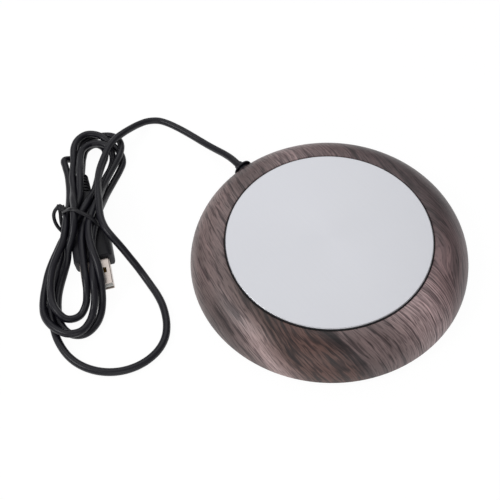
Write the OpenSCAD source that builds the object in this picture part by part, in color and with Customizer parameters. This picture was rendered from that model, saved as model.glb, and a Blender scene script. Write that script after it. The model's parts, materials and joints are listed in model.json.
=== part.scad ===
// Desk-top mug warmer: a round moulded ring with a heated aluminium plate, closed from below by
// a base cover, with a grommeted lead that ends in a USB-A plug and is put up in a tied hank.
// Millimetres. The origin is the centre of the warmer on the surface that it stands on, +Z is up
// and +Y points to the side that the lead leaves from.

/* [Housing] */
// Outer diameter of the moulded ring
housing_d = 110; // [106:1:118]
// Height of the ring from its lower rim to its top
housing_h = 13.4; // [13:0.2:18]
// Wall of the ring
wall = 2.2; // [1.8:0.1:2.6]
// Radius on the lower rim
rim_r = 0.6; // [0.4:0.1:1]
// Radius on the lip around the plate
lip_r = 0.5; // [0.3:0.1:0.8]
// Width of the ledge that carries the plate
ledge_w = 3.5; // [2.8:0.1:4]
// Thickness of the ledge
ledge_t = 1.8; // [1.4:0.1:2.2]
// Thickness of the stiffening ribs
rib_t = 1; // [0.8:0.1:1.4]

/* [Plate] */
// Diameter of the heated plate
plate_d = 80; // [78:1:84]
// Thickness of the heated plate
plate_t = 1.5; // [1:0.1:2]
// Height of the plate above the ring
plate_proud = 0.5; // [0:0.1:0.8]
// Gap between the plate and the ring, filled by the seal's lip
plate_gap = 0.5; // [0.4:0.05:0.7]
// Edge radius of the plate
plate_r = 0.4; // [0.2:0.1:0.5]
// Thickness of the seal under the plate
seal_t = 0.8; // [0.6:0.1:1.2]

/* [Heater] */
// Distance from the heater film's edge to the ledge
heater_margin = 5; // [4.6:0.1:7]
// Thickness of the heater film
film_t = 0.3; // [0.2:0.05:0.4]
// Thickness of the etched heating track
track_t = 0.15; // [0.1:0.05:0.2]
// Width of the heating track
track_w = 1.7; // [1.2:0.1:1.9]
// Spacing of the track's rings
track_pitch = 2.9; // [2.5:0.1:3.2]
// Thickness of the mica disc
mica_t = 0.5; // [0.3:0.1:0.8]
// Thickness of the insulation pad
pad_t = 3; // [2:0.1:3.4]
// Sheet thickness of the clamping disc
clamp_t = 0.8; // [0.6:0.1:1]
// Overlap of the clamping disc's rim with the ledge
clamp_lap = 1; // [0.9:0.1:1.5]
// Diameter of the weld studs
stud_d = 3; // [2.5:0.5:3]
// Height of the stud nuts
nut_h = 2.4; // [2:0.1:2.4]
// Width of the stud nuts across their flats
nut_af = 5.5; // [5:0.5:5.5]

/* [Thermostat and fuse] */
// Diameter of the thermostat's cap, which touches the heater film
cap_d = 14; // [12:0.5:14]
// Diameter of the thermostat's body
stat_d = 16; // [15:0.5:17]
// Height of the thermostat's body
stat_h = 3.4; // [2.8:0.1:3.6]
// Length of a thermostat tab
tab_l = 4.5; // [4:0.5:6]
// Diameter of the thermal fuse
fuse_d = 3.6; // [3:0.1:4]
// Length of the thermal fuse
fuse_l = 9; // [8:0.5:11]
// Diameter of the insulated wires inside
wire_d = 1.3; // [1:0.1:1.4]

/* [Base cover] */
// Thickness of the base cover
base_t = 2; // [1.8:0.1:2.2]
// Gap around the base cover
base_gap = 0.3; // [0.2:0.05:0.5]
// Distance from the cover's edge to its screw bosses
boss_inset = 2.4; // [1.6:0.1:3]
// Diameter of the ring's screw bosses
boss_d = 6; // [5.4:0.2:6.4]
// Diameter of the pilot holes
pilot_d = 2.2; // [2:0.1:2.4]
// Diameter of the cover screws' shanks
screw_d = 2.8; // [2.6:0.1:3]
// Diameter of the cover screws' heads
head_d = 5.2; // [4.8:0.1:5.4]
// Height of the cover screws' heads
head_h = 1.4; // [1.2:0.1:1.6]
// Length of the cover screws under their heads
screw_l = 6; // [5:0.5:6.5]
// Depth of the recess over each screw head
well_d = 0.6; // [0.4:0.1:0.8]
// Number of vent slots in each of the four groups
vents = 5; // [3:1:5]
// Width of a vent slot
vent_w = 1.5; // [1.2:0.1:1.8]
// Length of a vent slot
vent_l = 11; // [8:1:12]

/* [Feet] */
// Height that the feet stand proud of the housing
foot_proud = 1.6; // [1.2:0.1:2]
// Diameter of a foot
foot_d = 10; // [9:0.5:11]
// Depth of a foot's recess
foot_recess = 0.8; // [0.6:0.1:1]
// Distance from the cover's edge to a foot
foot_inset = 5.5; // [3:0.5:8]

/* [Lead and grommet] */
// Diameter of the lead
cord_d = 3; // [2.6:0.1:3.2]
// Height of the lead where it leaves the housing
cord_z = 6.5; // [6.3:0.1:7]
// Diameter of the grommet's outer flange
flange_d = 8.4; // [7.8:0.1:9]
// Thickness of the grommet's flanges
flange_t = 0.8; // [0.6:0.1:1]
// Diameter of the grommet's neck
neck_d = 6; // [5.4:0.1:6.4]
// Length of the grommet's flared cone
cone_l = 2.6; // [2:0.1:4]
// Distance from the clamping disc to the middle of the cord clamp
clamp_gap = 4; // [3:0.1:5]
// Spacing of the cord clamp's screws
clamp_pitch = 13; // [12:0.5:15]

/* [Plug] */
// Place of the plug's shoulder on the standing surface
plug_pos = [-74, 56.5];
// Direction that the plug points in
plug_angle = 245; // [240:1:250]
// Height of the plug above the standing surface
plug_lift = 0.9; // [0.9:0.1:1.5]
// Width of the overmould
grip_w = 16; // [15:0.5:17]
// Thickness of the overmould
grip_t = 8; // [7.4:0.1:8]
// Length of the overmould's full section
grip_l = 14; // [12:1:15]
// Length of the overmould's tapering neck
neck_l = 20; // [16:1:22]
// Length of the ribbed strain relief
relief_l = 11; // [9:1:14]
// Diameter of the strain relief at its root
relief_d = 7.4; // [7:0.1:7.8]
// Diameter of the strain relief at its tail
tail_d = 6; // [5:0.1:6.4]
// Number of grooves in the strain relief
grooves = 6; // [4:1:7]
// Length of the metal shell outside the overmould
shell_l = 12; // [11.75:0.05:12.5]
// Width of the metal shell
shell_w = 12; // [11.9:0.1:12.1]
// Thickness of the metal shell
shell_h = 4.5; // [4.4:0.1:4.6]
// Sheet thickness of the metal shell
shell_t = 0.3; // [0.25:0.05:0.35]

/* [Hank] */
// Height of the hank's loops
hank_h = 5.8; // [5:0.1:6]
// Height of the hank at its tied waist
waist_h = 10.6; // [10.3:0.1:10.6]
// Thickness of the twist tie
tie_t = 0.8; // [0.6:0.1:0.8]
// Width of the twist tie
tie_w = 1.6; // [1.2:0.1:2.4]

/* [Hidden] */
$fn = 96;
eps = 0.01;          // overshoot of cuts
slide = 0.1;         // clearance of parts that drop into each other
fit = 0.05;          // clearance of parts that grip each other
arc_step = 5;        // degrees between points on the profiles

rim_z = foot_proud;
ring_top = rim_z + housing_h;
housing_r = housing_d / 2;
bore_r = plate_d / 2 + plate_gap;
crown_r = bore_r + lip_r;                 // where the flank reaches its top
dome_w = housing_r - crown_r;
ledge_r = bore_r - ledge_w;
clamp_r = ledge_r + clamp_lap;
heater_d = 2 * (ledge_r - heater_margin);
stud_pcd = 2 * ledge_r - heater_margin;

plate_top = ring_top + plate_proud;
plate_z = plate_top - plate_t;
ledge_z = plate_z - seal_t;
film_z = plate_z - film_t;
mica_z = film_z - track_t - mica_t;
pad_z = mica_z - pad_t;
clamp_z = pad_z - clamp_t;
stud_l = plate_z - clamp_z + nut_h + 0.8;

base_z = rim_z;
base_top = base_z + base_t;
base_r = housing_r - wall - base_gap;
head_z = base_z + well_d;                 // lower face of the screw heads
seat_t = 1.6;                             // cover under a screw head
seat_z = head_z + head_h + seat_t;        // where cover and ring bosses meet
base_boss_d = head_d + 2.2;
screw_pcd = 2 * (base_r - boss_inset) - base_boss_d;
foot_pcd = 2 * (base_r - foot_inset) - foot_d;
screw_angles = [45, 135, 225, 315];
foot_angles = [0, 90, 180, 270];
vent_r = 21;                              // inner end of the vent slots

track_gap = 3.4;                          // gap between the two halves of the track
first_r = cap_d / 2 + 2.5;                // innermost ring of the track
turns = floor((heater_d / 2 - 2 - first_r) / track_pitch);
function track_r(k) = first_r + k * track_pitch;
terminal = 2.6;
pad_x = (track_gap + terminal) / 2;
pad_y = track_r(turns) - 0.3;
stat_flange_t = 0.8;
stat_z = clamp_z - stat_flange_t - stat_h;
tab_t = 0.8;
tab_z = stat_z + (stat_h - tab_t) / 2;
tab_x = stat_d / 2 + tab_l;
fuse_pos = [-11, 20, clamp_z - fuse_d / 2 - fit];

lane_x = tab_x + 5.5;                     // the wires' way round the thermostat
lane_z = clamp_z - 2.6;

cord_r = cord_d / 2;
clamp_y = clamp_r + clamp_gap;
hole_d = neck_d + 2 * slide;
notch = [13, 7];                          // notch in the discs under the track's two terminals
wire_r = wire_d / 2;

plug_z = plug_lift + grip_t / 2;
shell_seat = 5;                           // length of the shell inside the overmould
waist = [-66.5, 78.5];
waist_r = 8;
waist_run = [4, 5];                       // half of the waist's full-height stretch
loops_top = [-44, 105];
loops_top_r = 14.5;
loops_end = [-90.5, 47];
loops_end_r = 13;
tie_angle = -50;
tie_reach = 8.9;                          // half width inside the twist tie

// Radius of the ring's flank at a height, for a shell set in by some distance
function flank_r(z, inset) =
    crown_r + (dome_w - inset) * sqrt(1 - pow((z - rim_z) / (housing_h - inset), 2));
function arc_points(c, rx, ry, a0, a1) =
    [for (i = [0 : round(abs(a1 - a0) / arc_step)])
        let (a = a0 + (a1 - a0) * i / round(abs(a1 - a0) / arc_step))
        [c[0] + rx * cos(a), c[1] + ry * sin(a)]];

grommet_y = flank_r(cord_z, 0) - 0.5;     // outer seat of the grommet
inner_y = flank_r(cord_z, wall) - 0.4;    // inner seat of the grommet
exit_y = grommet_y + flange_t + cone_l;
core_y = clamp_y - 5;                     // where the jacket ends inside
core_x = wire_r + fit;
fuse_pin = 1;
tab_wire_z = tab_z + tab_t + wire_r + fit;
pad_wire_z = film_z - track_t - fit;
post_d = 5;                               // posts of the cord clamp
post_top = cord_z + 0.2;
bar_t = 2.4;
bar_sink = 0.8;                           // counterbore for the clamp's screw heads
clamp_head_d = 3.8;
clamp_bite = 3;                           // length of the clamp's screws in their posts

// Route of the lead from the grommet to where it dives under the hank
cord_route = concat(
    [[0, exit_y, cord_z], [0, exit_y + 4, cord_z]],
    [[0, 66.5, 5], [-1, 74.5, 2.8], [-2, 82.5, 1.5], [-4.5, 94.5, 1.5], [-8.5, 105.5, 1.5],
     [-13.5, 108, 2], [-20.5, 107, 4.5], [-27.5, 104.5, 7.5], [-34, 103.5, 8], [-38.5, 100.5, 8],
     [-43.5, 96.5, 8.5], [-48, 92, 9.5], [-51.5, 86.5, 11.5], [-55, 81.5, 12.5], [-57, 76, 12.5],
     [-59, 71, 12.5], [-60.5, 66.5, 10], [-61, 61.5, 5], [-61, 55.5, 2], [-61, 48, 1.5],
     [-61.5, 41, 1.5], [-62, 35.5, 1.5], [-62.5, 28.5, 1.5], [-64.5, 22, 1.5], [-68.5, 14.5, 1.5],
     [-74.5, 10, 1.5], [-83, 9, 1.5], [-90, 11, 1.5], [-95.5, 14.5, 1.5], [-99.5, 19, 1.5],
     [-102, 23.5, 1.5], [-103.5, 28, 1.5], [-104, 33, 1.5], [-103.5, 37, 1.5], [-103.5, 40, 1.5]]);

// Cubic B-spline through a route, with its ends held
function padded(p) = concat([p[0], p[0]], p, [p[len(p) - 1], p[len(p) - 1]]);
function spline_point(a, b, c, d, t) =
    (pow(1 - t, 3) * a + (3 * pow(t, 3) - 6 * t * t + 4) * b
     + (-3 * pow(t, 3) + 3 * t * t + 3 * t + 1) * c + pow(t, 3) * d) / 6;
function spline(p, steps) =
    let (q = padded(p))
    concat([for (i = [0 : len(q) - 4]) for (k = [0 : steps - 1])
                spline_point(q[i], q[i + 1], q[i + 2], q[i + 3], k / steps)],
           [p[len(p) - 1]]);
function unit(v) = v / norm(v);
function tangent(p, i) = unit(p[min(i + 1, len(p) - 1)] - p[max(i - 1, 0)]);

// Tube of radius r along a list of points, swept ring by ring
module sweep(p, r, sides) {
    // a side vector that never lines up with the run of the tube
    rings = [for (i = [0 : len(p) - 1])
        let (t = tangent(p, i),
             ref = abs(t[2]) > 0.8 ? [1, 0, 0] : [0, 0, 1],
             u = unit(cross(ref, t)), v = cross(t, u))
        for (k = [0 : sides - 1])
            p[i] + r * (cos(360 * k / sides) * u + sin(360 * k / sides) * v)];
    n = len(p);
    faces = concat(
        [[for (k = [0 : sides - 1]) k]],
        [for (i = [0 : n - 2]) for (k = [0 : sides - 1])
            [i * sides + k, (i + 1) * sides + k,
             (i + 1) * sides + (k + 1) % sides, i * sides + (k + 1) % sides]],
        [[for (k = [sides - 1 : -1 : 0]) (n - 1) * sides + k]]);
    polyhedron(rings, faces, convexity = 8);
}

// Flat profile with rounded corners
module rounded(w, h, r) {
    union() {
        square([w - 2 * r, h], center = true);
        square([w, h - 2 * r], center = true);
        for (x = [-1, 1], y = [-1, 1])
            translate([x * (w / 2 - r), y * (h / 2 - r)]) circle(r, $fn = 32);
    }
}

module at_angles(angles, r) {
    for (a = angles) rotate([0, 0, a]) translate([r, 0, 0]) children();
}

// ---------------------------------------------------------------- housing

// Section of the ring: rim, flank, lip, bore, ledge and the hollow under the flank
module ring_section() {
    polygon(concat(
        [[housing_r - wall, rim_z]],
        arc_points([housing_r - rim_r, rim_z + rim_r], rim_r, rim_r, -90, 0),
        arc_points([crown_r, rim_z], dome_w, housing_h, 5, 90),
        arc_points([crown_r, ring_top - lip_r], lip_r, lip_r, 90, 180),
        [[bore_r, ledge_z], [ledge_r, ledge_z], [ledge_r, ledge_z - ledge_t],
         [bore_r + wall, ledge_z - ledge_t]],
        arc_points([crown_r, rim_z], dome_w - wall, housing_h - wall,
                   acos((bore_r + wall - crown_r) / (dome_w - wall)), 0)));
}

// Space under the flank and the ledge, a little into their walls, for what is moulded on to them
module flank_space(inset) {
    polygon(concat(
        [[clamp_r + 2 * slide, seat_z]],
        arc_points([crown_r, rim_z], dome_w - inset, housing_h - inset,
                   asin((seat_z - rim_z) / (housing_h - inset)), 85),
        [[bore_r + wall / 2, ledge_z - ledge_t / 2], [clamp_r + 2 * slide, ledge_z - ledge_t / 2]]));
}

module ring_bosses() {
    intersection() {
        at_angles(screw_angles, screw_pcd / 2) {
            cylinder(d = boss_d, h = ring_top);
            translate([0, -rib_t / 2, 0]) cube([dome_w / 2, rib_t, ring_top]);
        }
        rotate_extrude() flank_space(wall / 2);
    }
}

module ring_ribs() {
    rib_angles = [for (a = [0 : 22.5 : 337.5]) if (a != 90 && a % 90 != 45) a];
    intersection() {
        at_angles(rib_angles, 0)
            translate([bore_r, -rib_t / 2, seat_z]) cube([dome_w, rib_t, ring_top]);
        rotate_extrude() flank_space(wall / 2);
    }
}

module housing_ring() {
    color("#6b5b58")
    difference() {
        union() {
            rotate_extrude() ring_section();
            ring_bosses();
            ring_ribs();
        }
        at_angles(screw_angles, screw_pcd / 2)
            translate([0, 0, seat_z - eps]) cylinder(d = pilot_d, h = screw_l - seat_t + 0.4);
        translate([0, 0, cord_z]) rotate([-90, 0, 0]) {
            translate([0, 0, inner_y - 5]) cylinder(d = flange_d + 2 * slide, h = 5);
            cylinder(d = hole_d, h = housing_r);
            translate([0, 0, grommet_y]) cylinder(d = flange_d + 2 * slide, h = 5);
        }
    }
}

// ---------------------------------------------------------------- plate and heater

module heating_plate() {
    color("#d3d7dd")
    translate([0, 0, plate_z])
    rotate_extrude()
    polygon(concat(
        [[0, 0], [plate_d / 2 - plate_r / 2, 0], [plate_d / 2, plate_r / 2]],
        arc_points([plate_d / 2 - plate_r, plate_t - plate_r], plate_r, plate_r, 0, 90),
        [[0, plate_t]]));
}

module plate_seal() {
    lip_h = plate_t - plate_proud - 0.2;
    color("#17171a")
    translate([0, 0, ledge_z])
    rotate_extrude()
    polygon([[ledge_r + 0.2, 0], [bore_r - fit, 0], [bore_r - fit, seal_t + lip_h],
             [plate_d / 2 + fit, seal_t + lip_h], [plate_d / 2 + fit, seal_t],
             [ledge_r + 0.2, seal_t]]);
}

module heater_film() {
    color("#b5722a")
    translate([0, 0, film_z]) cylinder(d = heater_d, h = film_t);
}

// Half rings of foil, joined in turn at their ends, so that one strip runs from the first
// terminal to the innermost ring and back to the second terminal
module track_half() {
    for (k = [0 : turns]) {
        r = track_r(k);
        side = (turns - k) % 2 == 0 ? 1 : -1;
        difference() {
            circle(r + track_w / 2);
            circle(r - track_w / 2);
            translate([-housing_r + track_gap / 2, 0]) square(2 * housing_r, center = true);
        }
        if (k > 0)
            translate([(track_gap + track_w) / 2, -side * (r - track_pitch / 2)])
                square([track_w, track_pitch + track_w * 0.8], center = true);
        else
            translate([track_gap / 4, side * r]) square([track_gap / 2 + track_w, track_w], center = true);
    }
    translate([pad_x, pad_y]) square(terminal, center = true);
}

module track_plan() {
    track_half();
    mirror([1, 0]) track_half();
}

module heater_track() {
    color("#c9a05a")
    translate([0, 0, film_z - track_t]) linear_extrude(track_t) track_plan();
}

// Disc with the openings for the thermostat's cap and the wires
module stack_disc(d, t) {
    difference() {
        cylinder(d = d, h = t);
        translate([0, 0, -eps]) cylinder(d = cap_d + 4 * slide, h = t + 2 * eps);
        translate([-notch[0] / 2, pad_y - notch[1] / 2, -eps]) cube([notch[0], notch[1], t + 2 * eps]);
    }
}

module mica_disc() {
    color("#c8b78e")
    translate([0, 0, mica_z]) stack_disc(heater_d, mica_t);
}

module insulation_pad() {
    color("#e9e6df")
    translate([0, 0, pad_z]) stack_disc(heater_d - 1, pad_t);
}

// Pressed disc whose turned-up rim pulls on the ring's ledge
module clamp_disc() {
    rim_h = ledge_z - ledge_t - clamp_z;
    color("#a9adb2")
    difference() {
        translate([0, 0, clamp_z]) {
            stack_disc(2 * clamp_r, clamp_t);
            difference() {
                cylinder(r = clamp_r, h = rim_h);
                translate([0, 0, -eps]) cylinder(r = clamp_r - clamp_t, h = rim_h + 2 * eps);
            }
        }
        at_angles([30, 150, 270], stud_pcd / 2)
            translate([0, 0, clamp_z - eps]) cylinder(d = stud_d + 4 * slide, h = clamp_t + 2 * eps);
    }
}

module weld_studs() {
    color("#b9bcc0")
    at_angles([30, 150, 270], stud_pcd / 2)
        translate([0, 0, plate_z - stud_l]) {
            translate([0, 0, 0.3]) cylinder(d = stud_d, h = stud_l - 0.3);
            cylinder(d1 = stud_d - 0.6, d2 = stud_d, h = 0.3);
        }
}

module stud_nuts() {
    color("#c3c6ca")
    at_angles([30, 150, 270], stud_pcd / 2)
        translate([0, 0, clamp_z - nut_h])
        difference() {
            intersection() {
                cylinder(d = nut_af / cos(30), h = nut_h, $fn = 6);
                cylinder(d1 = nut_af, d2 = nut_af + 2 * nut_h, h = nut_h);
            }
            translate([0, 0, -eps]) cylinder(d = stud_d + 2 * fit, h = nut_h + 2 * eps);
        }
}

// ---------------------------------------------------------------- thermostat, fuse and wires

module thermostat() {
    color("#3a2a22")
    union() {
        translate([0, 0, clamp_z - eps]) cylinder(d = cap_d, h = film_z - clamp_z + eps);
        translate([0, 0, stat_z + stat_h - eps]) cylinder(d = stat_d + 4, h = stat_flange_t + eps);
        translate([0, 0, stat_z]) cylinder(d = stat_d, h = stat_h);
        for (s = [-1, 1])
            translate([s * tab_x / 2, 0, tab_z + tab_t / 2]) cube([tab_x, 4.2, tab_t], center = true);
    }
}

module thermal_fuse() {
    color("#d8c9a8")
    translate(fuse_pos) rotate([0, 90, 0]) {
        translate([0, 0, -fuse_l / 2]) cylinder(d = fuse_d, h = fuse_l);
        translate([0, 0, -fuse_l / 2 - fuse_pin]) cylinder(d = 1.6, h = fuse_l + 2 * fuse_pin);
    }
}

// Sheet strap that holds the fuse against the clamping disc
module fuse_strap() {
    strap_t = 0.4;
    strap_w = 4;
    ear = 3.5;
    in_r = fuse_d / 2 + fit;
    color("#a9adb2")
    translate(fuse_pos)
    difference() {
        union() {
            rotate([0, 90, 0]) cylinder(r = in_r + strap_t, h = strap_w, center = true);
            translate([0, 0, in_r / 2]) cube([strap_w, 2 * (in_r + strap_t), in_r], center = true);
            translate([0, 0, in_r - strap_t / 2]) cube([strap_w, 2 * (in_r + ear), strap_t], center = true);
        }
        rotate([0, 90, 0]) cylinder(r = in_r, h = strap_w + 1, center = true);
        translate([0, 0, in_r]) cube([strap_w + 1, 2 * in_r, 2 * in_r], center = true);
        translate([0, 0, 2 * in_r]) cube([strap_w + 1, 4 * in_r, 2 * in_r], center = true);
    }
}

module wire(route) {
    sweep(spline(route, 3), wire_r, 8);
}

module lead_live() {
    color("#a8201c")
    wire([[core_x, core_y, cord_z], [core_x, core_y - 3, cord_z], [core_x, core_y - 7, lane_z],
          [-core_x - 1, fuse_pos[1] + 4, lane_z],
          [fuse_pos[0] + fuse_l / 2 + 4, fuse_pos[1] + 0.5, fuse_pos[2]],
          [fuse_pos[0] + fuse_l / 2 + fuse_pin + fit, fuse_pos[1], fuse_pos[2]]]);
}

module lead_fuse() {
    color("#a8201c")
    wire([[fuse_pos[0] - fuse_l / 2 - fuse_pin - fit, fuse_pos[1], fuse_pos[2]],
          [fuse_pos[0] - fuse_l / 2 - 4, fuse_pos[1] - 1, fuse_pos[2]],
          [-lane_x - 2, fuse_pos[1] * 0.6, fuse_pos[2]], [-lane_x, fuse_pos[1] * 0.25, tab_wire_z],
          [-tab_x - 1, 1, tab_wire_z], [-tab_x + 3, 0, tab_wire_z]]);
}

module lead_link() {
    color("#e4e2dc")
    wire([[tab_x - 3, 0, tab_wire_z], [tab_x + 1, 1, tab_wire_z],
          [lane_x, stat_d * 0.5, tab_wire_z], [lane_x, stat_d, lane_z],
          [pad_x + stat_d / 2, pad_y - 5.5, lane_z + 0.4], [pad_x + 1, pad_y - 1, clamp_z - 0.8],
          [pad_x, pad_y, clamp_z + clamp_t], [pad_x, pad_y, pad_wire_z]]);
}

module lead_neutral() {
    color("#1a1a1c")
    wire([[-core_x, core_y, cord_z], [-core_x, core_y - 3, cord_z],
          [-pad_x + 1, pad_y + 1, clamp_z - 1], [-pad_x, pad_y, clamp_z + clamp_t],
          [-pad_x, pad_y, pad_wire_z]]);
}

// ---------------------------------------------------------------- cord clamp

module cord_clamp() {
    color("#222226")
    difference() {
        translate([0, clamp_y, post_top])
            linear_extrude(bar_t) rounded(clamp_pitch + post_d, post_d, 2);
        translate([0, 0, cord_z]) rotate([-90, 0, 0]) cylinder(d = cord_d + 2 * fit, h = housing_r);
        for (s = [-1, 1])
            translate([s * clamp_pitch / 2, clamp_y, post_top]) {
                translate([0, 0, -eps]) cylinder(d = pilot_d + 2 * slide, h = bar_t + 2 * eps);
                translate([0, 0, bar_t - bar_sink])
                    cylinder(d = clamp_head_d + 2 * slide, h = bar_sink + eps);
            }
    }
}

module pan_screw(shank_d, length, top_d, top_h) {
    difference() {
        union() {
            cylinder(d = shank_d, h = length);
            translate([0, 0, length]) cylinder(d1 = top_d, d2 = top_d - 0.8, h = top_h);
        }
        // cross recess
        for (a = [0, 90])
            translate([0, 0, length + top_h]) rotate([0, 0, a])
                cube([top_d * 0.5, top_d * 0.14, top_h * 1.1], center = true);
    }
}

module clamp_screws() {
    color("#c3c6ca")
    for (s = [-1, 1])
        translate([s * clamp_pitch / 2, clamp_y, post_top - clamp_bite])
            pan_screw(pilot_d - fit, clamp_bite + bar_t - bar_sink, clamp_head_d, 1.1);
}

// ---------------------------------------------------------------- base cover, screws and feet

module base_ribs() {
    rib_h = 1;
    for (a = [22.5 : 45 : 337.5])
        rotate([0, 0, a]) translate([vent_r - 3, -rib_t / 2, base_top - eps])
            cube([base_r - wall - vent_r + 3, rib_t, rib_h]);
    translate([0, 0, base_top - eps])
    difference() {
        cylinder(r = base_r - wall, h = rib_h);
        translate([0, 0, -eps]) cylinder(r = base_r - wall - rib_t, h = rib_h + 2 * eps);
    }
}

module vent_slots() {
    for (g = [0 : 3], k = [0 : vents - 1])
        rotate([0, 0, 90 * g + (k - (vents - 1) / 2) * 8])
        translate([vent_r + vent_l / 2, 0, base_z - 1])
        linear_extrude(base_t + 2) {
            square([vent_l - vent_w, vent_w], center = true);
            for (s = [-1, 1]) translate([s * (vent_l - vent_w) / 2, 0]) circle(d = vent_w, $fn = 24);
        }
}

module base_cover() {
    edge = 0.5;
    color("#1f1f22")
    difference() {
        union() {
            translate([0, 0, base_z])
            rotate_extrude()
                polygon([[0, 0], [base_r - edge, 0], [base_r, edge], [base_r, base_t], [0, base_t]]);
            base_ribs();
            at_angles(screw_angles, screw_pcd / 2)
                translate([0, 0, base_z + eps]) cylinder(d = base_boss_d, h = seat_z - base_z - eps);
            for (s = [-1, 1])
                translate([s * clamp_pitch / 2, clamp_y, base_z + base_t / 2])
                    cylinder(d = post_d, h = post_top - base_z - base_t / 2);
            translate([-clamp_pitch / 2, clamp_y - 1, base_top - eps])
                cube([clamp_pitch, 2, cord_z - cord_r - fit - base_top + eps]);
        }
        at_angles(screw_angles, screw_pcd / 2) {
            translate([0, 0, base_z - eps]) cylinder(d = head_d + 4 * slide, h = head_z + head_h - base_z);
            translate([0, 0, base_z]) cylinder(d = screw_d + 4 * slide, h = seat_z);
        }
        at_angles(foot_angles, foot_pcd / 2)
            translate([0, 0, base_z - eps]) cylinder(d = foot_d + 2 * slide, h = foot_recess + eps);
        for (s = [-1, 1])
            translate([s * clamp_pitch / 2, clamp_y, post_top - clamp_bite - 0.4])
                cylinder(d = pilot_d, h = clamp_bite + 1);
        vent_slots();
    }
}

module base_screws() {
    color("#c3c6ca")
    at_angles(screw_angles, screw_pcd / 2)
        translate([0, 0, head_z + head_h + screw_l])
            mirror([0, 0, 1]) pan_screw(pilot_d - fit, screw_l, head_d, head_h);
}

module foot(i) {
    proud = foot_proud + foot_recess;
    edge = 0.5;
    color("#2a2a2c")
    rotate([0, 0, foot_angles[i]]) translate([foot_pcd / 2, 0, 0])
    rotate_extrude()
        polygon(concat(
            [[0, 0]], arc_points([foot_d / 2 - edge, edge], edge, edge, -90, 0),
            [[foot_d / 2, proud], [0, proud]]));
}

// ---------------------------------------------------------------- grommet and lead

module cord_grommet() {
    wall_l = grommet_y - inner_y;
    cone_d = cord_d + 4;
    lip_d = cord_d + 0.8;
    color("#1b1b1e")
    translate([0, inner_y, cord_z]) rotate([-90, 0, 0])
    rotate_extrude()
    polygon(concat(
        [[cord_r + fit, -flange_t], [flange_d / 2 - 0.3, -flange_t], [flange_d / 2, 0], [neck_d / 2, 0],
         [neck_d / 2, wall_l], [flange_d / 2, wall_l]],
        arc_points([flange_d / 2 - flange_t / 2, wall_l + flange_t / 2], flange_t / 2, flange_t / 2, 0, 90),
        // hollow flare down to the lead
        [for (k = [0 : 6]) let (a = 90 * k / 6)
            [lip_d / 2 + (cone_d - lip_d) / 2 * (1 - sin(a)),
             wall_l + flange_t + cone_l * (1 - cos(a))]],
        [[cord_r + fit, wall_l + flange_t + cone_l]]));
}

module cord_inner() {
    color("#18181b")
    translate([0, core_y, cord_z]) rotate([-90, 0, 0]) cylinder(r = cord_r, h = exit_y - core_y);
}

module cord() {
    color("#18181b")
    sweep(spline(cord_route, 2), cord_r, 8);
}

// ---------------------------------------------------------------- plug

// Puts its children with X along the plug, from the overmould's front face towards the tip
module on_plug() {
    translate([plug_pos[0], plug_pos[1], plug_z]) rotate([0, 0, plug_angle]) children();
}

// Half width of the overmould behind its front face
function neck_half(t) =
    let (s = t / neck_l) grip_w / 2 + (relief_d / 2 - grip_w / 2) * (1 - pow(1 - s, 1.6));
neck_steps = 8;

module grip_plan(grow) {
    edge = 1.2;
    front = concat(
        arc_points([-edge, grip_w / 2 + grow - edge], edge, edge, 0, 90),
        [for (k = [0 : neck_steps]) let (t = neck_l * k / neck_steps) [-grip_l - t, neck_half(t) + grow]]);
    polygon(concat(front, [for (i = [len(front) - 1 : -1 : 0]) [front[i][0], -front[i][1]]]));
}

// Side view of the overmould: flat faces that fall to the strain relief over the neck
module grip_side() {
    edge = 1;
    top = concat(
        arc_points([-edge, grip_t / 2 - edge], edge, edge, 0, 90),
        [[-grip_l - neck_l * 0.4, grip_t / 2], [-grip_l - neck_l * 0.75, (grip_t + relief_d) / 4],
         [-grip_l - neck_l, relief_d / 2]]);
    polygon(concat(top, [for (i = [len(top) - 1 : -1 : 0]) [top[i][0], -top[i][1]]]));
}

module plug_relief() {
    pitch = relief_l / (grooves + 0.5);
    groove_w = pitch * 0.45;
    groove_d = 0.8;
    rotate([0, -90, 0])
    difference() {
        cylinder(d1 = relief_d, d2 = tail_d, h = relief_l);
        for (k = [0 : grooves - 1])
            translate([0, 0, pitch * (k + 0.5)])
            difference() {
                cylinder(d = relief_d + 1, h = groove_w);
                translate([0, 0, -eps]) cylinder(d = tail_d - 2 * groove_d, h = groove_w + 2 * eps);
                // a web on either side holds the rings together
                translate([-relief_d, -0.6, -eps]) cube([2 * relief_d, 1.2, groove_w + 2 * eps]);
            }
        translate([0, 0, relief_l - 8]) cylinder(d = cord_d + 2 * fit, h = 8 + eps);
    }
}

module plug_grip() {
    total = grip_l + neck_l;
    color("#1d1d20")
    on_plug()
    difference() {
        union() {
            intersection() {
                translate([0, 0, -grip_t]) linear_extrude(2 * grip_t) grip_plan(0);
                rotate([90, 0, 0]) translate([0, 0, -grip_w]) linear_extrude(2 * grip_w) grip_side();
                translate([-total, 0, 0]) rotate([90, 0, 90])
                    linear_extrude(total) rounded(grip_w, grip_t, 2.4);
            }
            translate([-total + eps, 0, 0]) plug_relief();
        }
        translate([-shell_seat - slide, 0, 0]) rotate([90, 0, 90])
            linear_extrude(shell_seat + 1) rounded(shell_w + 2 * fit, shell_h + 2 * fit, 0.6);
    }
}

module plug_shell() {
    window = [2.5, 2.2];
    window_x = shell_l - 6.4;
    window_y = 3.3;
    color("#c9bdb2")
    on_plug()
    difference() {
        translate([-shell_seat, 0, 0]) rotate([90, 0, 90])
        linear_extrude(shell_l + shell_seat)
        difference() {
            rounded(shell_w, shell_h, 0.6);
            rounded(shell_w - 2 * shell_t, shell_h - 2 * shell_t, 0.4);
        }
        for (y = [-window_y, window_y])
            translate([window_x, y, 0]) cube([window[0], window[1], 2 * shell_h], center = true);
    }
}

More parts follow.
